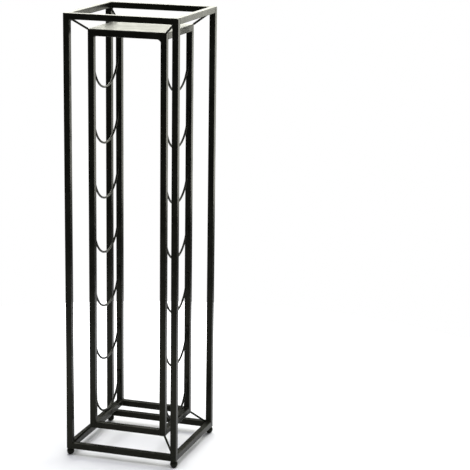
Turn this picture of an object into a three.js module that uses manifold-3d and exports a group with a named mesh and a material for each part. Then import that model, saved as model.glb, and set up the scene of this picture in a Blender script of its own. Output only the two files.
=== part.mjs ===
// Seven-bottle wine rack: a cage of square tube hung inside a larger cage by eight thin rods.
// Bottles lie along X with their necks towards +X, each on two half rings of wire.
// Millimetres, +Z up. Origin on the floor, under the middle of the rack. The front faces -Y.

import * as THREE from 'three';
import { mergeVertices } from 'three/addons/utils/BufferGeometryUtils.js';
import Module from 'manifold-3d';

const wasm = await Module();
wasm.setup();

// Outer frame
const overallHeight = 838; // floor to the top of the outer frame
const frameWidth = 220; // across the front, along X
const frameDepth = 214; // front to back, along Y
const tubeSize = 11.5; // side of the square tube
const tubeWall = 1;
const tubeCornerRadius = 1.2;
const capThickness = 1.5; // plate that closes the top of a post

// Feet: a ball seated in the open lower end of each outer post
const ballDiameter = 14.5;
const ballFlat = 4; // diameter of the worn flat that each ball stands on

// Inner frame, set back from the outer frame on every side
const sideGap = 34;
const frontGap = 33;
const topGap = 30.5;
const bottomGap = 35;
const plateThickness = 1.5;

// Round wire
const rodDiameter = 4;
const rodOverrun = 1; // how far a rod runs past the corners it joins, round their edges
const cradleDiameter = 4;
const bottleCount = 7;

// Fits
const weldGap = 0.3; // left between a wire or ball and the tube it is welded to

// Fineness of the round pieces
const wireSides = 10;
const cradleSteps = 20;
const ballSteps = 12;
const turnedSides = 24;

// Sizes that follow. A ball's middle lies so far below its post that the ball clears the bore's edge by the gap.
const ballRadius = ballDiameter / 2;
const ballCentre = Math.sqrt(ballRadius ** 2 - (ballFlat / 2) ** 2);
const boreHalf = tubeSize / 2 - tubeWall;
const footHeight = ballCentre + Math.sqrt((ballRadius + weldGap) ** 2 - boreHalf ** 2);
const outerHalfX = frameWidth / 2;
const outerHalfY = frameDepth / 2;
const innerHalfX = outerHalfX - sideGap;
const innerHalfY = outerHalfY - frontGap;
const innerBottom = footHeight + bottomGap;
const innerTop = overallHeight - topGap;
const innerTubeTop = innerTop - plateThickness;

const corners = [
  { name: 'front_left', x: -1, y: -1 },
  { name: 'front_right', x: 1, y: -1 },
  { name: 'back_left', x: -1, y: 1 },
  { name: 'back_right', x: 1, y: 1 },
];

const steelCoat = { color: 0x1c1d1b, roughness: 0.42, metalness: 0.35 };

const rack = new THREE.Group();

// Adds one named piece to the rack.
function addPiece(name, geometry, look, x = 0, y = 0, z = 0) {
  const mesh = new THREE.Mesh(geometry, new THREE.MeshStandardMaterial(look));
  mesh.name = name;
  mesh.position.set(x, y, z);
  rack.add(mesh);
  return mesh;
}

// A closed three.js geometry as a manifold-3d solid.
function toSolid(geometry) {
  const bare = geometry.clone();
  bare.deleteAttribute('normal');
  bare.deleteAttribute('uv');
  const merged = mergeVertices(bare, 1e-4);
  return new wasm.Manifold(new wasm.Mesh({
    numProp: 3,
    vertProperties: merged.attributes.position.array,
    triVerts: new Uint32Array(merged.index.array),
  }));
}

// A manifold-3d solid back as a three.js geometry.
function toGeometry(solid) {
  const mesh = solid.getMesh();
  const geometry = new THREE.BufferGeometry();
  geometry.setAttribute('position', new THREE.BufferAttribute(mesh.vertProperties, 3));
  geometry.setIndex(new THREE.BufferAttribute(mesh.triVerts, 1));
  return geometry;
}

// A solid block between two opposite corners, grown by a margin on every side.
function block(low, high, margin = 0) {
  const size = high.clone().sub(low).addScalar(2 * margin);
  const middle = low.clone().add(high).multiplyScalar(0.5);
  const box = new THREE.BoxGeometry(size.x, size.y, size.z);
  return toSolid(box.translate(middle.x, middle.y, middle.z));
}

// A square outline with round corners, centred on the origin.
function roundedRectangle(width, depth, radius) {
  const x = width / 2;
  const y = depth / 2;
  const quarter = Math.PI / 2;
  const outline = new THREE.Shape();
  outline.absarc(x - radius, y - radius, radius, 0, quarter, false);
  outline.absarc(-x + radius, y - radius, radius, quarter, 2 * quarter, false);
  outline.absarc(-x + radius, -y + radius, radius, 2 * quarter, 3 * quarter, false);
  outline.absarc(x - radius, -y + radius, radius, 3 * quarter, 4 * quarter, false);
  return outline;
}

// A length of open square tube along +Z, from z = 0.
function squareTube(length) {
  const outline = roundedRectangle(tubeSize, tubeSize, tubeCornerRadius);
  const bore = roundedRectangle(2 * boreHalf, 2 * boreHalf, tubeCornerRadius / 2);
  outline.holes.push(new THREE.Path(bore.getPoints(2).reverse()));
  return new THREE.ExtrudeGeometry(outline, { depth: length, bevelEnabled: false, curveSegments: 3 });
}

// A flat plate with its underside at z = 0.
function flatPlate(width, depth, thickness, cornerRadius) {
  const outline = roundedRectangle(width, depth, cornerRadius);
  return new THREE.ExtrudeGeometry(outline, { depth: thickness, bevelEnabled: false, curveSegments: 3 });
}

// Four rails that close a rectangle between the posts of one frame, at one height.
function addRails(name, halfX, halfY, middleZ) {
  const alongX = 2 * (halfX - tubeSize);
  const alongY = 2 * (halfY - tubeSize);
  const railX = squareTube(alongX).rotateY(Math.PI / 2);
  const railY = squareTube(alongY).rotateX(-Math.PI / 2);
  const inset = tubeSize / 2;
  addPiece(`${name}_rail_front`, railX, steelCoat, -alongX / 2, -halfY + inset, middleZ);
  addPiece(`${name}_rail_back`, railX.clone(), steelCoat, -alongX / 2, halfY - inset, middleZ);
  addPiece(`${name}_rail_left`, railY, steelCoat, -halfX + inset, -alongY / 2, middleZ);
  addPiece(`${name}_rail_right`, railY.clone(), steelCoat, halfX - inset, -alongY / 2, middleZ);
}

// The outer frame's posts, with a cap on top and a ball foot in the open lower end.
function addOuterPosts() {
  const top = overallHeight - capThickness;
  for (const corner of corners) {
    const x = corner.x * (outerHalfX - tubeSize / 2);
    const y = corner.y * (outerHalfY - tubeSize / 2);
    const cap = flatPlate(tubeSize, tubeSize, capThickness, tubeCornerRadius);
    addPiece(`outer_post_${corner.name}`, squareTube(top - footHeight), steelCoat, x, y, footHeight);
    addPiece(`post_cap_${corner.name}`, cap, steelCoat, x, y, top);
    addPiece(`ball_foot_${corner.name}`, ballFoot(), steelCoat, x, y, 0);
  }
}

// A ball that stands on a small flat.
function ballFoot() {
  const from = Math.asin(ballFlat / 2 / ballRadius);
  const profile = [new THREE.Vector2(0, 0)];
  for (let i = 0; i < ballSteps; i++) {
    const angle = from + (Math.PI - from) * i / ballSteps;
    profile.push(new THREE.Vector2(ballRadius * Math.sin(angle), ballCentre - ballRadius * Math.cos(angle)));
  }
  profile.push(new THREE.Vector2(0, ballCentre + ballRadius));
  return new THREE.LatheGeometry(profile, turnedSides).rotateX(Math.PI / 2);
}

// The inner frame's posts: closed at the bottom, and closed on top by the plate that lies on them.
function addInnerPosts() {
  const length = innerTubeTop - innerBottom;
  const half = tubeSize / 2;
  const boreLow = new THREE.Vector3(-boreHalf, -boreHalf, tubeWall);
  const boreHigh = new THREE.Vector3(boreHalf, boreHalf, length + tubeWall);
  const full = toSolid(flatPlate(tubeSize, tubeSize, length, tubeCornerRadius));
  const blindTube = toGeometry(full.subtract(block(boreLow, boreHigh)));
  for (const corner of corners) {
    const x = corner.x * (innerHalfX - half);
    const y = corner.y * (innerHalfY - half);
    addPiece(`inner_post_${corner.name}`, blindTube.clone(), steelCoat, x, y, innerBottom);
  }
}

// The sheet that lies on the inner frame, flush with its sides.
function addTopPlate() {
  const plate = flatPlate(2 * innerHalfX, 2 * innerHalfY, plateThickness, tubeCornerRadius);
  addPiece('top_plate', plate, steelCoat, 0, 0, innerTubeTop);
}

// One thin rod from an inside corner of the outer frame to the outside corner of the inner frame.
// Its outer end is cut to the three tubes it meets, and its inner end never stands over the inner frame.
function cornerRod(corner, level) {
  const outerZ = level === 'top' ? overallHeight - tubeSize : footHeight + tubeSize;
  const innerZ = level === 'top' ? innerTop : innerBottom;
  const outerEnd = new THREE.Vector3(
    corner.x * (outerHalfX - tubeSize), corner.y * (outerHalfY - tubeSize), outerZ);
  const innerEnd = new THREE.Vector3(corner.x * innerHalfX, corner.y * innerHalfY, innerZ);
  const along = innerEnd.clone().sub(outerEnd);
  const length = along.length() + 2 * rodOverrun;
  const middle = outerEnd.clone().add(innerEnd).multiplyScalar(0.5);
  const turn = new THREE.Quaternion().setFromUnitVectors(
    new THREE.Vector3(0, 1, 0), along.clone().normalize());
  const rod = new THREE.CylinderGeometry(rodDiameter / 2, rodDiameter / 2, length, wireSides);
  rod.applyQuaternion(turn).translate(middle.x, middle.y, middle.z);

  const postOut = new THREE.Vector3(corner.x * outerHalfX, corner.y * outerHalfY, 0);
  const farX = -corner.x * outerHalfX;
  const farY = -corner.y * outerHalfY;
  const railEdge = level === 'top' ? overallHeight : footHeight;
  const post = [outerEnd.clone().setZ(footHeight), postOut.clone().setZ(overallHeight)];
  const railAlongX = [outerEnd.clone().setX(farX), new THREE.Vector3(postOut.x, postOut.y, railEdge)];
  const railAlongY = [outerEnd.clone().setY(farY), new THREE.Vector3(postOut.x, postOut.y, railEdge)];
  const innerColumn = [
    new THREE.Vector3(-innerHalfX, -innerHalfY, 0),
    new THREE.Vector3(innerHalfX, innerHalfY, overallHeight),
  ];
  let solid = toSolid(rod);
  for (const [a, b] of [post, railAlongX, railAlongY, innerColumn]) {
    solid = solid.subtract(block(a.clone().min(b), a.clone().max(b), weldGap));
  }
  return toGeometry(solid);
}

function addCornerRods() {
  for (const level of ['top', 'bottom']) {
    for (const corner of corners) {
      addPiece(`corner_rod_${level}_${corner.name}`, cornerRod(corner, level), steelCoat);
    }
  }
}

// The lower half of a circle in the YZ plane, from the front post round to the back post.
class HalfRing extends THREE.Curve {
  constructor(radius) {
    super();
    this.radius = radius;
  }

  getPoint(share, target = new THREE.Vector3()) {
    const angle = Math.PI * (1 + share);
    return target.set(0, this.radius * Math.cos(angle), this.radius * Math.sin(angle));
  }
}

// A half ring of round wire whose two ends lie against the inner faces of a pair of inner posts.
function cradle(radius) {
  const section = new THREE.Shape();
  for (let i = 0; i < wireSides; i++) {
    const angle = 2 * Math.PI * (i + 0.5) / wireSides;
    const x = cradleDiameter / 2 * Math.cos(angle);
    const y = cradleDiameter / 2 * Math.sin(angle);
    if (i === 0) section.moveTo(x, y);
    else section.lineTo(x, y);
  }
  section.closePath();
  return new THREE.ExtrudeGeometry(section, { steps: cradleSteps, extrudePath: new HalfRing(radius) });
}

// Two columns of cradles: the left one carries the bottle bodies, the right one their shoulders.
// They share the clear height between the inner rails evenly, the lowest standing on the bottom rail.
function addCradles() {
  const radius = innerHalfY - tubeSize - cradleDiameter / 2 - weldGap;
  const lowest = innerBottom + tubeSize + weldGap + cradleDiameter / 2;
  const clearHeight = innerTubeTop - innerBottom - 2 * tubeSize;
  const pitch = clearHeight / bottleCount;
  const planeX = innerHalfX - tubeSize / 2;
  for (let row = 0; row < bottleCount; row++) {
    const z = lowest + radius + row * pitch;
    addPiece(`body_cradle_${row + 1}`, cradle(radius), steelCoat, -planeX, 0, z);
    addPiece(`neck_cradle_${row + 1}`, cradle(radius), steelCoat, planeX, 0, z);
  }
}

addOuterPosts();
addRails('outer_top', outerHalfX, outerHalfY, overallHeight - tubeSize / 2);
addRails('outer_bottom', outerHalfX, outerHalfY, footHeight + tubeSize / 2);
addInnerPosts();
addRails('inner_top', innerHalfX, innerHalfY, innerTubeTop - tubeSize / 2);
addRails('inner_bottom', innerHalfX, innerHalfY, innerBottom + tubeSize / 2);
addTopPlate();
addCornerRods();
addCradles();

export default rack;
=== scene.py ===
"""Finish of the seven-bottle wine rack: tube, sheet, wire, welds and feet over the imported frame."""

import math
from collections import namedtuple

import bpy
import numpy as np
from bpy.props import FloatProperty, FloatVectorProperty, PointerProperty
from mathutils import Matrix, Vector


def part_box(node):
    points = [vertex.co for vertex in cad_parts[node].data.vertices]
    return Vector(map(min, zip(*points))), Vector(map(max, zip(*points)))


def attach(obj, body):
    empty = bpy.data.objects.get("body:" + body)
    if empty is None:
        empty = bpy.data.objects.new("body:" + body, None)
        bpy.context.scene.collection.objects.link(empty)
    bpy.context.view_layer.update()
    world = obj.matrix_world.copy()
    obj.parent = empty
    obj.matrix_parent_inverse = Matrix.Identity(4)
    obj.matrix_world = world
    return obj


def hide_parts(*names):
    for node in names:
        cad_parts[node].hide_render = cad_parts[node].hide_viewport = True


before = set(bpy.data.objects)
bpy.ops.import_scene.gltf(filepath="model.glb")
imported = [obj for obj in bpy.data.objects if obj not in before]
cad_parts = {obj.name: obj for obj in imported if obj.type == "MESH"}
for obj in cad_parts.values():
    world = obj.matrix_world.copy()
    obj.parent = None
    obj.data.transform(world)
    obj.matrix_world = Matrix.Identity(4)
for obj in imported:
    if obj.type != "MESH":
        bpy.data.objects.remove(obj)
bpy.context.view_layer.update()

bl_info = {
    "name": "Wine rack",
    "version": (1, 0, 0),
    "blender": (4, 5, 0),
    "location": "3D View > Sidebar > Wine rack",
    "description": "Finishes a packed wine rack with coated tube, sheet, wire, welds and feet",
    "category": "Object",
}

BODY = "root"
CORNERS = {
    "front_left": (-1, -1),
    "front_right": (1, -1),
    "back_left": (-1, 1),
    "back_right": (1, 1),
}
SIDES = ("front", "back", "left", "right")
LEVELS = ("top", "bottom")
BOTTLES = 7
X, Y, Z = np.eye(3)


# ---------------------------------------------------------------- settings that a user would change


def number(name, description, default, **unit_or_limits):
    return FloatProperty(name=name, description=description, default=default, **unit_or_limits)


def length(name, description, default):
    return number(name, description, default, unit="LENGTH", subtype="DISTANCE")


def colour(name, description, default):
    return FloatVectorProperty(
        name=name, description=description, default=default, size=3, min=0, max=1, subtype="COLOR"
    )


class RackMetalSizes(bpy.types.PropertyGroup):
    """Sizes of the tube, sheet and wire that the frame's boxes don't give."""

    edge_radius: length("Tube edge radius", "Rounding along the tube's long edges", 0.0012)
    wall: length("Tube wall", "Thickness of the tube's wall", 0.001)
    end_rounding: length("Tube end rounding", "Rounding at a tube's cut ends", 0.0003)
    cap_rounding: length("Cap rounding", "How far the ground top of a post is rounded over", 0.0009)
    ground_corner: length("Ground corner", "Radius that the front right post's top is ground to", 0.004)
    sheet_rounding: length("Sheet rounding", "Rounding along the edges of the top sheet", 0.0005)
    rod_diameter: length("Rod diameter", "Thickness of the rods between the two frames", 0.004)
    wire_diameter: length("Wire diameter", "Thickness of the half rings", 0.004)
    weld_gap: length("Weld gap", "Space that the frame leaves between a wire and its tube", 0.0003)
    ball_flat: length("Ball flat", "Width of the worn flat under a ball foot", 0.004)


class RackWeldSizes(bpy.types.PropertyGroup):
    """Sizes of the weld beads."""

    bead: length("Bead", "Leg of an ordinary inside corner bead", 0.0024)
    broad_bead: length("Broad bead", "Leg of the one bead that was laid thick", 0.0092)
    ripple: length("Ripple", "Distance between two ripples of a bead", 0.0013)
    tack: length("Tack", "Length of the bead that holds a wire's end", 0.009)
    tack_leg: length("Tack leg", "Leg of the bead beside a wire's end", 0.0022)
    lump: length("Lump", "Radius of the weld round a rod's end", 0.0029)
    seat: length("Seat weld", "Half the length of each weld between a ball and its post", 0.0026)


class RackCoatLook(bpy.types.PropertyGroup):
    """Colours and gloss of the powder coat."""

    black: colour("Black", "Colour of the coat", (0.0085, 0.0088, 0.0068))
    worn: colour("Worn", "Colour where the coat is thin along an edge", (0.026, 0.025, 0.021))
    sheen_tint: colour("Gloss tint", "Tint of the coat's gloss seen straight on", (1.0, 1.0, 0.8))
    roughness: number("Roughness", "How matt the coat is", 0.28, min=0, max=1)
    foot_roughness: number("Foot roughness", "How matt the feet are", 0.16, min=0, max=1)


class RackStudio(bpy.types.PropertyGroup):
    """Camera and floor."""

    azimuth: number("Azimuth", "Camera's turn round the rack, in degrees", 17.93)
    elevation: number("Elevation", "Camera's height angle, in degrees", 13.54)
    roll: number("Roll", "Camera's tilt, in degrees", 0.765)
    distance: length("Distance", "From the camera to the point it looks at", 3.397)
    aim_aside: length("Aim aside", "How far right of the rack the camera looks", 0.1763)
    aim_height: length("Aim height", "How high the camera looks", 0.4166)
    lens: number("Lens", "Focal length in millimetres", 138.3)
    floor_radius: length("Floor radius", "Size of the round floor", 1.02)


# ---------------------------------------------------------------- surfaces


def skin(rings, ends_meet=False, wear=None):
    """A closed skin over a grid of points, rings by columns by 3. Each ring closes on itself.

    The last ring joins the first, or each end closes on a pole at its ring's middle. The signed
    volume, a sixth of the sum of a . (b x c) over the triangles, says whether the faces have to be
    turned round.
    """
    ring_count, column_count = rings.shape[:2]
    points = rings.reshape(-1, 3)
    worn = np.zeros(len(points)) if wear is None else np.broadcast_to(wear, rings.shape[:2]).reshape(-1)
    index = np.arange(len(points)).reshape(ring_count, column_count)
    here = index if ends_meet else index[:-1]
    there = np.roll(index, -1, axis=0) if ends_meet else index[1:]
    quads = np.stack([here, np.roll(here, -1, 1), np.roll(there, -1, 1), there], -1).reshape(-1, 4)
    fans = np.zeros((0, 3), int)
    if not ends_meet:
        poles = np.stack([rings[0].mean(0), rings[-1].mean(0)])
        first = np.full(column_count, len(points))
        fans = np.vstack([
            np.stack([first, np.roll(index[0], -1), index[0]], -1),
            np.stack([first + 1, index[-1], np.roll(index[-1], -1)], -1),
        ])
        points = np.vstack([points, poles])
        worn = np.append(worn, [0.0, 0.0])
    triangles = np.vstack([quads[:, :3], quads[:, [0, 2, 3]], fans])
    centred = points - points.mean(0)
    a, b, c = (centred[triangles[:, k]] for k in range(3))
    if np.einsum("ij,ij->i", a, np.cross(b, c)).sum() < 0:
        quads, fans = quads[:, ::-1], fans[:, ::-1]
    return points, quads, fans, worn


def piece(name, skins, material, replaced=()):
    """One object from one or more skins, riding on the rack."""
    points, faces, worn, base = [], [], [], 0
    for skin_points, quads, fans, skin_wear in skins:
        points.append(skin_points)
        worn.append(skin_wear)
        faces += (quads + base).tolist() + (fans + base).tolist()
        base += len(skin_points)
    mesh = bpy.data.meshes.new(name)
    mesh.from_pydata(np.vstack(points).tolist(), [], faces)
    mesh.polygons.foreach_set("use_smooth", np.ones(len(faces), bool))
    attribute = mesh.attributes.new("wear", "FLOAT", "POINT")
    attribute.data.foreach_set("value", np.concatenate(worn).astype(np.float32))
    mesh.materials.append(material)
    mesh.update()
    obj = bpy.data.objects.new(name, mesh)
    bpy.context.scene.collection.objects.link(obj)
    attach(obj, BODY)
    if replaced:
        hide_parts(*replaced)
    return obj


def node_box(node):
    """Low and high corner of a frame node as arrays."""
    low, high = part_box(node)
    return np.array(low), np.array(high)


Outline = namedtuple("Outline", "points normals wear corners radius")


def rounded_rectangle(half_u, half_v, radius, support):
    """Outline of a rectangle with round corners, with wear from 0 on its flats to 1 on its corners.

    Each corner is a quarter circle between two points that lie support away on the flats beside it. A
    point has an outward normal and its corner's direction, one step out along both sides.
    """
    angle = np.linspace(0, math.pi / 2, 7)
    arc_normal = np.stack([np.cos(angle), np.sin(angle)], -1)
    normal = np.vstack([[1, 0], arc_normal, [0, 1]])
    worn = np.concatenate([[0], np.sin(2 * angle) ** 0.5, [0]])
    points, normals, corners = [], [], []
    for quarter in range(4):
        half = np.array([half_u, half_v] if quarter % 2 == 0 else [half_v, half_u])
        corner = half - radius + radius * normal
        corner[0, 1] -= support
        corner[-1, 0] -= support
        turn = np.linalg.matrix_power(np.array([[0, -1], [1, 0]]), quarter)
        points.append(corner @ turn.T)
        normals.append(normal @ turn.T)
        corners.append(np.ones_like(normal) @ turn.T)
    return Outline(np.vstack(points), np.vstack(normals), np.tile(worn, 4), np.vstack(corners), radius)


def carried(outline, stations, insets, origin, along, across_u, across_v):
    """An outline carried along a straight line: at each station it is drawn in by that station's inset.

    Its corners grow sharper as it is drawn in. Once the inset passes most of their radius they move in
    along both sides, so that their points never meet.
    """
    most_of_radius = 0.95 * outline.radius
    inset = np.asarray(insets)[:, None, None]
    rounded = np.minimum(inset, most_of_radius)
    flat = outline.points - rounded * outline.normals - (inset - rounded) * outline.corners
    return (
        origin
        + np.asarray(stations)[:, None, None] * along
        + flat[..., :1] * across_u
        + flat[..., 1:] * across_v
    )


def quarter_round(radius, steps=4):
    """Stations and insets of an edge rounded by a quarter circle, from the end face to the side."""
    angle = np.linspace(0, math.pi / 2, steps)
    return radius * (1 - np.cos(angle)), radius * (1 - np.sin(angle))


def axes_of(low, high, along):
    """A box along one axis: the middle of its low end, that axis, the two across it, half sizes."""
    size = high - low
    others = [k for k in range(3) if k != along]
    if along == 1:
        others.reverse()
    unit = np.eye(3)
    origin = (low + high) / 2
    origin[along] = low[along]
    u, v = others
    return origin, unit[along], unit[u], unit[v], size[u] / 2, size[v] / 2


def square_tube(node, sizes):
    """A hollow square tube in the place of a frame node: out along the outside, back along the bore.

    The outline is drawn in by the wall's thickness for the bore, and rounded over a little at both cut
    ends, with three more rings just behind each.
    """
    low, high = node_box(node)
    along = int(np.argmax(high - low))
    origin, axis, across_u, across_v, half_u, half_v = axes_of(low, high, along)
    total = (high - low)[along]
    outline = rounded_rectangle(half_u, half_v, sizes.edge_radius, support=0.0008)
    near, near_inset = quarter_round(sizes.end_rounding)
    behind = np.array([0.0007, 0.0015, 0.003])
    sides = len(behind) * 2
    stations = np.concatenate([near, behind, total - behind[::-1], total - near[::-1], [total, 0]])
    insets = np.concatenate([near_inset, [0] * sides, near_inset[::-1], [sizes.wall, sizes.wall]])
    rings = carried(outline, stations, insets, origin, axis, across_u, across_v)
    end_wear = np.concatenate([[0.5] * len(near), [0] * sides, [0.5] * len(near), [0, 0]])
    return skin(rings, ends_meet=True, wear=np.maximum(end_wear[:, None], outline.wear[None]))


def slab(low, high, edge_radius, low_rounding, high_rounding):
    """A solid level plate with round corners whose two faces are rounded over into its sides.

    Each face has three rings at the margins from its edge, which keep it flat beside the rounding.
    """
    origin, axis, across_u, across_v, half_u, half_v = axes_of(low, high, along=2)
    total = (high - low)[2]
    outline = rounded_rectangle(half_u, half_v, edge_radius, support=0.001)
    low_station, low_inset = quarter_round(low_rounding)
    high_station, high_inset = quarter_round(high_rounding)
    margins = np.array([0.0042, 0.0028, 0.0018])
    stations = np.concatenate([[0] * 3, low_station, total - high_station[::-1], [total] * 3])
    insets = np.concatenate([margins, low_inset, high_inset[::-1], margins[::-1]])
    rings = carried(outline, stations, insets, origin, axis, across_u, across_v)
    edge_wear = np.concatenate([[0] * 3, [0.9] * len(low_station), [0.9] * len(high_station), [0] * 3])
    return skin(rings, wear=edge_wear[:, None])


def ground_over(skin_parts, low, high, radius, least):
    """A skin whose high +X, +Z edge is ground round: points past a circle are drawn back onto it.

    The circle's radius falls from radius at the front of the box, low to high, to least at its back.
    """
    points = skin_parts[0]
    share = np.clip((points[:, 1] - low[1]) / (high[1] - low[1]), 0, 1)
    reach = radius + (least - radius) * share
    beyond = points[:, [0, 2]] - (high[[0, 2]] - reach[:, None])
    distance = np.linalg.norm(beyond, axis=1)
    outside = (beyond > 0).all(axis=1) & (distance > reach)
    drawn = beyond * (reach / np.maximum(distance, 1e-9))[:, None]
    moved = points.copy()
    moved[outside, 0] += (drawn - beyond)[outside, 0]
    moved[outside, 2] += (drawn - beyond)[outside, 1]
    return (moved, *skin_parts[1:])


def round_bar(centres, tangents, side, radii, sides=24, wear=None):
    """A round bar: a circle of each station's radius, square to the path, carried along its centres."""
    angle = np.linspace(0, 2 * math.pi, sides, endpoint=False)
    across = np.cross(tangents, side)
    rings = centres[:, None] + radii[:, None, None] * (
        np.cos(angle)[None, :, None] * side + np.sin(angle)[None, :, None] * across[:, None]
    )
    return skin(rings, wear=wear)


def bar_stations(total, steps, radius, rounding):
    """Stations along a bar and the radius at each, with both ends rounded over."""
    gap = 0.0008
    near, inset = quarter_round(rounding)
    middle = np.linspace(rounding + gap, total - rounding - gap, steps)
    stations = np.concatenate([near, middle, total - near[::-1]])
    radii = np.concatenate([radius - inset, np.full(steps, radius), radius - inset[::-1]])
    return stations, radii


def corner_bead(start, end, along_u, along_v, leg, bulge, ripple, rng):
    """A weld bead in the inside corner of two faces that open along u and v.

    Its face runs from one leg to the other, pushed out at its middle by bulge, a share of the leg. The
    leg swells and shrinks with the ripples, wanders a little, and closes in at both ends on a quarter
    ellipse. The bead's edges and heel are sunk a little into the faces.
    """
    ripple_swell, wander_swell = 0.05, 0.08
    rings_in_ripple, fewest_rings = 5, 14
    points_across = 9
    blunt = 0.03
    sunk = 0.0002
    run = np.asarray(end) - np.asarray(start)
    total = np.linalg.norm(run)
    steps = max(fewest_rings, int(total / ripple * rings_in_ripple))
    share = (1 - np.cos(np.linspace(0, math.pi, steps))) / 2
    distance = share * total
    closing = np.minimum(distance, total - distance) / min(leg, total / 2)
    ends = np.sqrt(1 - (1 - np.clip(closing, blunt, 1)) ** 2)
    phase, wander = rng.uniform(0, 2 * math.pi, 2)
    swell = (
        1
        + ripple_swell * np.cos(2 * math.pi * distance / ripple + phase)
        + wander_swell * np.sin(5 * share + wander)
    )
    legs = leg * ends * swell
    t = np.linspace(0, 1, points_across)
    across = (1 - t)[:, None] * along_u + t[:, None] * along_v
    across += (bulge * 4 * t * (1 - t))[:, None] * (along_u + along_v) / math.sqrt(2)
    back = -sunk * (along_u + along_v)
    face = start + share[:, None, None] * run + legs[:, None, None] * across[None]
    face[:, 0] -= sunk * along_v
    face[:, -1] -= sunk * along_u
    heel = np.broadcast_to(start + share[:, None] * run + back, (steps, 3))[:, None]
    return skin(np.concatenate([face, heel], axis=1))


def weld_lump(centre, radius, rng, rings=14, columns=20):
    """A lump of weld: a ball whose radius swells and shrinks with three slow waves round and over it.

    Its first and last rings stand off the poles by a small angle.
    """
    stand_off = 0.12
    over = np.linspace(stand_off, math.pi - stand_off, rings)[:, None]
    around = np.linspace(0, 2 * math.pi, columns, endpoint=False)[None]
    phases = rng.uniform(0, 2 * math.pi, 3)
    swell = (
        1
        + 0.07 * np.sin(2 * around + phases[0]) * np.sin(over)
        + 0.05 * np.sin(3 * around + 2 * over + phases[1])
        + 0.04 * np.cos(4 * over + phases[2])
    )
    direction = np.stack(
        [np.sin(over) * np.cos(around), np.sin(over) * np.sin(around), np.cos(over) + 0 * around], -1
    )
    return skin(centre + radius * swell[..., None] * direction)


def turned(profile, centre, columns=32, wear=None):
    """A profile of radius and height turned round the upright line through centre."""
    around = np.linspace(0, 2 * math.pi, columns, endpoint=False)
    circle = np.stack([np.cos(around), np.sin(around), 0 * around], -1)
    rings = centre + profile[:, :1, None] * circle[None] + profile[:, 1:, None] * Z
    return skin(rings, wear=wear)


# ---------------------------------------------------------------- materials


class Recipe:
    """A material under construction: short calls that add a node and return its output."""

    def __init__(self, name):
        self.material = bpy.data.materials.get(name) or bpy.data.materials.new(name)
        self.material.use_nodes = True
        self.tree = self.material.node_tree
        self.tree.nodes.clear()
        self.shader = self.tree.nodes.new("ShaderNodeBsdfPrincipled")
        output = self.tree.nodes.new("ShaderNodeOutputMaterial")
        self.tree.links.new(self.shader.outputs["BSDF"], output.inputs["Surface"])
        self.place = self.tree.nodes.new("ShaderNodeTexCoord").outputs["Object"]

    def put(self, value, socket):
        if isinstance(value, bpy.types.NodeSocket):
            self.tree.links.new(value, socket)
        else:
            socket.default_value = value

    def noise(self, grain, detail):
        """Noise from 0 to 1 whose lumps are about grain metres across."""
        mapping = self.tree.nodes.new("ShaderNodeMapping")
        mapping.inputs["Scale"].default_value = [1 / grain] * 3
        self.put(self.place, mapping.inputs["Vector"])
        node = self.tree.nodes.new("ShaderNodeTexNoise")
        node.inputs["Scale"].default_value = 1.0
        node.inputs["Detail"].default_value = detail
        self.put(mapping.outputs["Vector"], node.inputs["Vector"])
        return node.outputs["Fac"]

    def ramp(self, value, low, high, out_low=0.0, out_high=1.0):
        node = self.tree.nodes.new("ShaderNodeMapRange")
        node.interpolation_type = "SMOOTHSTEP"
        for socket, number in zip(node.inputs[1:5], (low, high, out_low, out_high)):
            socket.default_value = number
        self.put(value, node.inputs["Value"])
        return node.outputs["Result"]

    def math(self, operation, a, b):
        node = self.tree.nodes.new("ShaderNodeMath")
        node.operation = operation
        self.put(a, node.inputs[0])
        self.put(b, node.inputs[1])
        return node.outputs[0]

    def blend(self, factor, a, b):
        node = self.tree.nodes.new("ShaderNodeMix")
        node.data_type = "RGBA"
        self.put(factor, node.inputs[0])
        self.put(a if isinstance(a, bpy.types.NodeSocket) else (*a, 1), node.inputs[6])
        self.put(b if isinstance(b, bpy.types.NodeSocket) else (*b, 1), node.inputs[7])
        return node.outputs[2]

    def bump(self, height, depth, over=None):
        node = self.tree.nodes.new("ShaderNodeBump")
        node.inputs["Distance"].default_value = depth
        node.inputs["Strength"].default_value = 1.0
        self.put(height, node.inputs["Height"])
        if over is not None:
            self.put(over, node.inputs["Normal"])
        return node.outputs["Normal"]

    def attribute(self, name):
        node = self.tree.nodes.new("ShaderNodeAttribute")
        node.attribute_name = name
        return node.outputs["Fac"]


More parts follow.
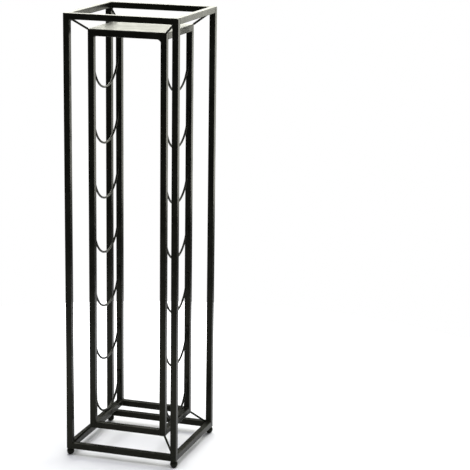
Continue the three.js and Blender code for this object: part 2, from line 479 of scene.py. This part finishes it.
def powder_coat(
    name, roughness, peel_depth, grain_depth, wear_amount, ripple_depth=0.0, specular=0.1
):
    """Semi-gloss powder coat: orange peel, a fine grain, cloudy gloss, and lighter worn edges.

    The depths are in metres, and wear_amount is the most that an edge takes of the worn colour.
    """
    look = bpy.context.scene.rack_coat
    r = Recipe(name)
    clouds = r.noise(0.03, detail=4)
    drift = r.noise(0.006, detail=3)
    peel = r.noise(0.0022, detail=1.5)
    grain = r.noise(0.0005, detail=2)
    specks = r.ramp(r.noise(0.0013, detail=1), 0.7, 0.78)

    black = tuple(look.black)
    lifted = tuple(1.45 * c for c in black)
    body = r.blend(r.ramp(clouds, 0.35, 0.7), black, lifted)
    body = r.blend(r.math("MULTIPLY", specks, 0.3), body, tuple(look.worn))
    edge = r.math("MULTIPLY", r.attribute("wear"), r.ramp(drift, 0.36, 0.64, 0.35, 0.9))
    edge = r.math("MULTIPLY", edge, wear_amount)
    r.put(r.blend(edge, body, tuple(look.worn)), r.shader.inputs["Base Color"])

    gloss = r.ramp(clouds, 0.3, 0.75, roughness - 0.03, roughness + 0.04)
    gloss = r.math("ADD", gloss, r.ramp(grain, 0.3, 0.7, -0.02, 0.02))
    gloss = r.math("ADD", gloss, r.math("MULTIPLY", edge, 0.06))
    r.put(gloss, r.shader.inputs["Roughness"])

    normal = r.bump(peel, peel_depth)
    normal = r.bump(grain, grain_depth, over=normal)
    if ripple_depth:
        normal = r.bump(r.noise(0.0016, detail=3), ripple_depth, over=normal)
    r.put(normal, r.shader.inputs["Normal"])
    r.shader.inputs["Specular IOR Level"].default_value = specular
    r.shader.inputs["Specular Tint"].default_value = (*look.sheen_tint, 1)
    return r.material


def tube_coat():
    roughness = bpy.context.scene.rack_coat.roughness
    return powder_coat(
        "tube_coat", roughness, peel_depth=0.000014, grain_depth=0.000003, wear_amount=0.4
    )


def wire_coat():
    roughness = bpy.context.scene.rack_coat.roughness
    return powder_coat(
        "wire_coat", roughness, peel_depth=0.000014, grain_depth=0.000003, wear_amount=0.4
    )


def sheet_coat():
    """The sheet's coat has a shallower orange peel than the tubes' and a stronger, softer gloss."""
    roughness = bpy.context.scene.rack_coat.roughness + 0.04
    return powder_coat(
        "sheet_coat", roughness, peel_depth=0.000008, grain_depth=0.000002, wear_amount=0.5,
        specular=0.22,
    )


def weld_coat():
    """Coat over a weld, whose surface is lumpier and has no worn edges."""
    roughness = bpy.context.scene.rack_coat.roughness + 0.05
    return powder_coat(
        "weld_coat", roughness, peel_depth=0.00003, grain_depth=0.00001, wear_amount=0.0,
        ripple_depth=0.00012,
    )


def foot_gloss():
    roughness = bpy.context.scene.rack_coat.foot_roughness
    return powder_coat(
        "foot_gloss", roughness, peel_depth=0.000012, grain_depth=0.000003, wear_amount=0.5
    )


# ---------------------------------------------------------------- the rack's pieces


class RACK_OT_outer_frame(bpy.types.Operator):
    """Finish the outer frame: its posts, rails and caps"""

    bl_idname = "wine_rack.outer_frame"
    bl_label = "Outer frame"

    def execute(self, context):
        sizes = context.scene.rack_metal
        coat = tube_coat()
        seam_rounding = 0.00005
        for corner in CORNERS:
            node = f"outer_post_{corner}"
            cap = f"post_cap_{corner}"
            low, high = node_box(cap)
            tube = square_tube(node, sizes)
            plate = slab(low, high, sizes.edge_radius, seam_rounding, sizes.cap_rounding)
            if corner == "front_right":
                tube = ground_over(tube, low, high, sizes.ground_corner, sizes.edge_radius)
                plate = ground_over(plate, low, high, sizes.ground_corner, sizes.edge_radius)
            piece(f"{node}_tube", [tube], coat, [node])
            piece(f"{cap}_plate", [plate], coat, [cap])
        for level in LEVELS:
            for side in SIDES:
                node = f"outer_{level}_rail_{side}"
                piece(f"{node}_tube", [square_tube(node, sizes)], coat, [node])
        return {"FINISHED"}


class RACK_OT_inner_frame(bpy.types.Operator):
    """Finish the inner frame: its posts and rails"""

    bl_idname = "wine_rack.inner_frame"
    bl_label = "Inner frame"

    def execute(self, context):
        sizes = context.scene.rack_metal
        coat = tube_coat()
        for corner in CORNERS:
            node = f"inner_post_{corner}"
            piece(f"{node}_tube", [square_tube(node, sizes)], coat, [node])
        for level in LEVELS:
            for side in SIDES:
                node = f"inner_{level}_rail_{side}"
                piece(f"{node}_tube", [square_tube(node, sizes)], coat, [node])
        return {"FINISHED"}


class RACK_OT_top_sheet(bpy.types.Operator):
    """Finish the flat sheet on top of the inner frame"""

    bl_idname = "wine_rack.top_sheet"
    bl_label = "Top sheet"

    def execute(self, context):
        sizes = context.scene.rack_metal
        low, high = node_box("top_plate")
        under_rounding = 0.0003
        skins = [slab(low, high, sizes.edge_radius, under_rounding, sizes.sheet_rounding)]
        piece("top_plate_sheet", skins, sheet_coat(), ["top_plate"])
        return {"FINISHED"}


def frame_corner(prefix, corner, level):
    """The inside corner where a post meets two rails, the signs of its x and y, the tube's size."""
    sign_x, sign_y = CORNERS[corner]
    along_x = "front" if sign_y < 0 else "back"
    along_y = "left" if sign_x < 0 else "right"
    rail_x = node_box(f"{prefix}_{level}_rail_{along_x}")
    rail_y = node_box(f"{prefix}_{level}_rail_{along_y}")
    x = rail_x[1][0] if sign_x > 0 else rail_x[0][0]
    y = rail_y[1][1] if sign_y > 0 else rail_y[0][1]
    z = rail_x[0][2] if level == "top" else rail_x[1][2]
    tube = rail_x[1][1] - rail_x[0][1]
    return np.array([x, y, z]), sign_x, sign_y, tube


class RACK_OT_corner_rods(bpy.types.Operator):
    """Finish the thin rods that hold the inner frame inside the outer one, with the weld at each end"""

    bl_idname = "wine_rack.corner_rods"
    bl_label = "Corner rods"

    def execute(self, context):
        sizes = context.scene.rack_metal
        welds = context.scene.rack_weld
        rng = np.random.default_rng(11)
        coat, weld = wire_coat(), weld_coat()
        end_rounding = 0.0004
        outer_lump_step, inner_lump_step = 0.0012, 0.0004
        inner_lump_share = 0.72
        _, inner_high = node_box("top_plate")
        inner_bottom = node_box("inner_post_front_left")[0][2]
        for level in LEVELS:
            for corner in CORNERS:
                outer, sign_x, sign_y, _ = frame_corner("outer", corner, level)
                inner_height = inner_high[2] if level == "top" else inner_bottom
                inner = np.array([inner_high[0] * sign_x, inner_high[1] * sign_y, inner_height])
                run = inner - outer
                total = np.linalg.norm(run)
                tangent = run / total
                side = np.cross(tangent, Z)
                side /= np.linalg.norm(side)
                stations, radii = bar_stations(total, 3, sizes.rod_diameter / 2, end_rounding)
                centres = outer + stations[:, None] * tangent
                skins = [round_bar(centres, np.tile(tangent, (len(stations), 1)), side, radii)]
                node = f"corner_rod_{level}_{corner}"
                piece(f"{node}_bar", skins, coat, [node])
                outer_lump = outer + tangent * outer_lump_step
                inner_lump = inner - tangent * inner_lump_step
                lumps = [
                    weld_lump(outer_lump, welds.lump, rng),
                    weld_lump(inner_lump, welds.lump * inner_lump_share, rng),
                ]
                piece(f"{node}_welds", lumps, weld)
        return {"FINISHED"}


def half_ring(node, sizes):
    """A half circle of wire in its node's upright plane, open at the top, and where its two ends lie.

    Its wear is 1 at the bottom, where a bottle rubs it, and falls to 0 at rubbed_share to either side.
    """
    rubbed_share = 0.22
    low, high = node_box(node)
    radius = (high[1] - low[1] - sizes.wire_diameter) / 2
    centre = np.array([(low[0] + high[0]) / 2, 0.0, high[2]])
    total = math.pi * radius
    stations, radii = bar_stations(total, 61, sizes.wire_diameter / 2, rounding=0.0005)
    angle = math.pi + stations / radius
    outward = np.stack([0 * angle, np.cos(angle), np.sin(angle)], -1)
    tangents = np.stack([0 * angle, -np.sin(angle), np.cos(angle)], -1)
    rubbed = np.clip(1 - np.abs(stations / total - 0.5) / rubbed_share, 0, 1)
    skins = [round_bar(centre + radius * outward, tangents, X, radii, wear=rubbed[:, None])]
    ends = [centre + sign * radius * Y for sign in (-1, 1)]
    return skins, ends


class RACK_OT_cradles(bpy.types.Operator):
    """Finish the half rings that carry the bottles, with the tack welds at their ends"""

    bl_idname = "wine_rack.cradles"
    bl_label = "Bottle cradles"

    def execute(self, context):
        sizes = context.scene.rack_metal
        welds = context.scene.rack_weld
        rng = np.random.default_rng(23)
        coat, weld = wire_coat(), weld_coat()
        from_middle = 0.0006
        bulge = 0.12
        for side in ("body", "neck"):
            for row in range(BOTTLES):
                node = f"{side}_cradle_{row + 1}"
                skins, ends = half_ring(node, sizes)
                piece(f"{node}_wire", skins, coat, [node])
                beads = []
                for end, sign in zip(ends, (-1, 1)):
                    face = end + sign * (sizes.wire_diameter / 2 + sizes.weld_gap) * Y
                    for hand in (-1, 1):
                        top = face + hand * from_middle * X - rng.uniform(0.0004, 0.0012) * Z
                        foot = top - rng.uniform(0.8, 1.15) * welds.tack * Z
                        leg = welds.tack_leg * rng.uniform(0.9, 1.15)
                        bead = corner_bead(
                            foot, top, hand * X, -sign * Y, leg, bulge, welds.ripple, rng
                        )
                        beads.append(bead)
                piece(f"{node}_tacks", beads, weld)
        return {"FINISHED"}


class RACK_OT_ball_feet(bpy.types.Operator):
    """Finish the ball feet: a ball on a worn flat, and the welds that hold it in its post's open end"""

    bl_idname = "wine_rack.ball_feet"
    bl_label = "Ball feet"

    def execute(self, context):
        sizes = context.scene.rack_metal
        welds = context.scene.rack_weld
        rng = np.random.default_rng(31)
        gloss, weld = foot_gloss(), weld_coat()
        pole_angle = 0.08
        worn_height = 0.0025
        seam_rise = 0.0001
        leg, lean, bulge = 0.0013, 0.3, 0.2
        for corner in CORNERS:
            node = f"ball_foot_{corner}"
            low, high = node_box(node)
            post_low, post_high = node_box(f"outer_post_{corner}")
            ball = (high[0] - low[0]) / 2
            centre_height = math.sqrt(ball**2 - (sizes.ball_flat / 2) ** 2)
            middle = np.array([(low[0] + high[0]) / 2, (low[1] + high[1]) / 2, 0.0])
            angle = np.linspace(math.asin(sizes.ball_flat / 2 / ball), math.pi - pole_angle, 32)
            ball_part = np.stack([ball * np.sin(angle), centre_height - ball * np.cos(angle)], -1)
            profile = np.vstack([[[0.4 * sizes.ball_flat, 0.0]], ball_part])
            wear = np.clip(1 - profile[:, 1] / worn_height, 0, 1)
            skins = [turned(profile, middle, wear=wear[:, None])]
            piece(f"{node}_ball", skins, gloss, [node])
            wall_middle = (post_high[0] - post_low[0]) / 2 - sizes.wall / 2
            beads = []
            for along, across in ((X, Y), (Y, X)):
                for hand in (-1, 1):
                    seam = middle + hand * wall_middle * across + (post_low[2] + seam_rise) * Z
                    reach = welds.seat * rng.uniform(0.8, 1.1)
                    start, end = seam - reach * along, seam + reach * along
                    outwards = hand * across * lean
                    bead = corner_bead(start, end, -Z, outwards, leg, bulge, welds.ripple, rng)
                    beads.append(bead)
            piece(f"{node}_welds", beads, weld)
        return {"FINISHED"}


class RACK_OT_frame_welds(bpy.types.Operator):
    """Lay the weld beads in the inside corners of both frames"""

    bl_idname = "wine_rack.frame_welds"
    bl_label = "Frame welds"

    def execute(self, context):
        welds = context.scene.rack_weld
        rng = np.random.default_rng(5)
        coat = weld_coat()
        inset = 0.0004
        bulge, broad_bulge = 0.02, -0.27
        for prefix in ("outer", "inner"):
            for level in LEVELS:
                for corner in CORNERS:
                    at, sign_x, sign_y, tube = frame_corner(prefix, corner, level)
                    away = -Z if level == "top" else Z
                    out_x, out_y = sign_x * X, sign_y * Y
                    reach = tube - inset
                    legs = welds.bead * rng.uniform(0.75, 1.2, 3)
                    bulges = [bulge] * 3
                    if (prefix, level, corner) == ("inner", "top", "front_right"):
                        legs[0] = welds.broad_bead
                        bulges[0] = broad_bulge
                    lines = [
                        (at + inset * out_y, at + reach * out_y, -out_x, away),
                        (at + inset * out_x, at + reach * out_x, -out_y, away),
                        (at + inset * away, at - reach * away, -out_x, -out_y),
                    ]
                    beads = [
                        corner_bead(*line, leg, line_bulge, welds.ripple, rng)
                        for line, leg, line_bulge in zip(lines, legs, bulges)
                    ]
                    piece(f"weld_{prefix}_{level}_{corner}", beads, coat)
        return {"FINISHED"}


# ---------------------------------------------------------------- the studio


Lamp = namedtuple("Lamp", "name place faces size radiance tint")
WHITE = (1.0, 1.0, 1.0)
WARM = (1.0, 1.0, 0.9)
LAMPS = (
    Lamp("overhead", (0, 0, 2.6), faces=(0, 0, 0), size=(3.0, 3.0), radiance=2.7, tint=WHITE),
    Lamp("back_panel", (-0.2, 1.2, 1.35), faces=(-0.2, 0, 1.35), size=(2.6, 1.2), radiance=4.3, tint=WARM),
    Lamp("right_panel", (0.85, 1.2, 0.5), faces=(0.85, 0, 0.5), size=(1.1, 0.6), radiance=3.5, tint=WARM),
)
ROOM_COLOUR = (0.9, 0.95, 1.0)
ROOM_STRENGTH = 0.07


def area_lamp(lamp):
    """A flat lamp turned to the point that it faces, shining evenly with its radiance."""
    width, height = lamp.size
    data = bpy.data.lights.new(lamp.name, "AREA")
    data.shape = "RECTANGLE"
    data.size = width
    data.size_y = height
    data.color = lamp.tint
    data.energy = lamp.radiance * math.pi * width * height
    towards = Vector(lamp.faces) - Vector(lamp.place)
    obj = bpy.data.objects.new(lamp.name, data)
    obj.location = lamp.place
    obj.rotation_euler = towards.to_track_quat("-Z", "Y").to_euler()
    obj.visible_camera = False
    bpy.context.scene.collection.objects.link(obj)


def studio_floor(radius):
    """A round pale floor whose own glow grows outwards, so that it fades into the white room."""
    glow_from, glow_to, most_glow = 0.15, 0.65, 0.9
    rings, columns = 24, 96
    around = np.linspace(0, 2 * math.pi, columns, endpoint=False)
    reach = radius * np.linspace(0.04, 1, rings)[:, None]
    points = np.stack([reach * np.cos(around), reach * np.sin(around), 0 * reach + 0 * around], -1)
    index = np.arange(rings * columns).reshape(rings, columns)
    here, there = index[:-1], index[1:]
    quads = np.stack([here, there, np.roll(there, -1, 1), np.roll(here, -1, 1)], -1).reshape(-1, 4)
    mesh = bpy.data.meshes.new("studio_floor")
    mesh.from_pydata(points.reshape(-1, 3).tolist(), [], quads.tolist() + [index[0].tolist()])
    r = Recipe("studio_floor")
    pale = r.blend(r.noise(0.4, detail=2), (0.86, 0.865, 0.91), (0.9, 0.905, 0.95))
    r.put(pale, r.shader.inputs["Base Color"])
    r.shader.inputs["Roughness"].default_value = 0.9
    r.shader.inputs["Specular IOR Level"].default_value = 0.0
    away = r.tree.nodes.new("ShaderNodeVectorMath")
    away.operation = "LENGTH"
    r.put(r.place, away.inputs[0])
    glow = r.ramp(away.outputs["Value"], glow_from * radius, glow_to * radius, 0.0, most_glow)
    r.put(glow, r.shader.inputs["Emission Strength"])
    r.shader.inputs["Emission Color"].default_value = (1, 1, 1, 1)
    mesh.materials.append(r.material)
    floor = bpy.data.objects.new("studio_floor", mesh)
    bpy.context.scene.collection.objects.link(floor)


def studio_world():
    """White where the camera looks past the floor, and a dim room for everything else."""
    world = bpy.data.worlds.new("studio_world")
    world.use_nodes = True
    tree = world.node_tree
    tree.nodes.clear()
    output = tree.nodes.new("ShaderNodeOutputWorld")
    mix = tree.nodes.new("ShaderNodeMixShader")
    room = tree.nodes.new("ShaderNodeBackground")
    white = tree.nodes.new("ShaderNodeBackground")
    rays = tree.nodes.new("ShaderNodeLightPath")
    room.inputs["Color"].default_value = (*ROOM_COLOUR, 1)
    room.inputs["Strength"].default_value = ROOM_STRENGTH
    white.inputs["Color"].default_value = (1, 1, 1, 1)
    white.inputs["Strength"].default_value = 1.0
    tree.links.new(rays.outputs["Is Camera Ray"], mix.inputs[0])
    tree.links.new(room.outputs[0], mix.inputs[1])
    tree.links.new(white.outputs[0], mix.inputs[2])
    tree.links.new(mix.outputs[0], output.inputs["Surface"])
    bpy.context.scene.world = world


def studio_camera(studio):
    """The camera at the given turn and height, aimed beside the rack's upright middle line."""
    turn, rise, roll = (math.radians(v) for v in (studio.azimuth, studio.elevation, studio.roll))
    right = Vector((math.cos(turn), math.sin(turn), 0))
    back = Vector((math.sin(turn) * math.cos(rise), -math.cos(turn) * math.cos(rise), math.sin(rise)))
    up = back.cross(right)
    place = right * studio.aim_aside + Vector((0, 0, studio.aim_height)) + back * studio.distance
    data = bpy.data.cameras.new("studio_camera")
    data.lens = studio.lens
    data.sensor_width = 36
    data.clip_end = 100
    camera = bpy.data.objects.new("studio_camera", data)
    side = right * math.cos(roll) + up * math.sin(roll)
    above = up * math.cos(roll) - right * math.sin(roll)
    turned_to = Matrix((side, above, back)).transposed().to_4x4()
    turned_to.translation = place
    camera.matrix_world = turned_to
    bpy.context.scene.collection.objects.link(camera)
    bpy.context.scene.camera = camera


class RACK_OT_studio(bpy.types.Operator):
    """Set up the floor, the lamps, the room and the camera"""

    bl_idname = "wine_rack.studio"
    bl_label = "Studio"

    def execute(self, context):
        studio = context.scene.rack_studio
        studio_floor(studio.floor_radius)
        studio_world()
        for lamp in LAMPS:
            area_lamp(lamp)
        studio_camera(studio)
        context.scene.view_settings.view_transform = "Standard"
        return {"FINISHED"}


class RACK_PT_panel(bpy.types.Panel):
    """Lists the rack's sizes and the steps that finish it"""

    bl_label = "Wine rack"
    bl_idname = "RACK_PT_panel"
    bl_space_type = "VIEW_3D"
    bl_region_type = "UI"
    bl_category = "Wine rack"

    def draw(self, context):
        for group in ("rack_metal", "rack_weld", "rack_coat", "rack_studio"):
            settings = getattr(context.scene, group)
            box = self.layout.box()
            for name in settings.__annotations__:
                box.prop(settings, name)
        for step in STEPS:
            self.layout.operator(step.bl_idname)


STEPS = (
    RACK_OT_outer_frame,
    RACK_OT_inner_frame,
    RACK_OT_top_sheet,
    RACK_OT_corner_rods,
    RACK_OT_cradles,
    RACK_OT_ball_feet,
    RACK_OT_frame_welds,
    RACK_OT_studio,
)
SETTINGS = {
    "rack_metal": RackMetalSizes,
    "rack_weld": RackWeldSizes,
    "rack_coat": RackCoatLook,
    "rack_studio": RackStudio,
}


def register():
    for settings in SETTINGS.values():
        bpy.utils.register_class(settings)
    for name, settings in SETTINGS.items():
        setattr(bpy.types.Scene, name, PointerProperty(type=settings))
    for step in STEPS:
        bpy.utils.register_class(step)
    bpy.utils.register_class(RACK_PT_panel)


def unregister():
    bpy.utils.unregister_class(RACK_PT_panel)
    for step in reversed(STEPS):
        bpy.utils.unregister_class(step)
    for name, settings in reversed(SETTINGS.items()):
        delattr(bpy.types.Scene, name)
        bpy.utils.unregister_class(settings)


def main():
    register()
    bpy.ops.wine_rack.outer_frame()
    bpy.ops.wine_rack.inner_frame()
    bpy.ops.wine_rack.top_sheet()
    bpy.ops.wine_rack.corner_rods()
    bpy.ops.wine_rack.cradles()
    bpy.ops.wine_rack.ball_feet()
    bpy.ops.wine_rack.frame_welds()
    bpy.ops.wine_rack.studio()


if __name__ == "__main__":
    main()
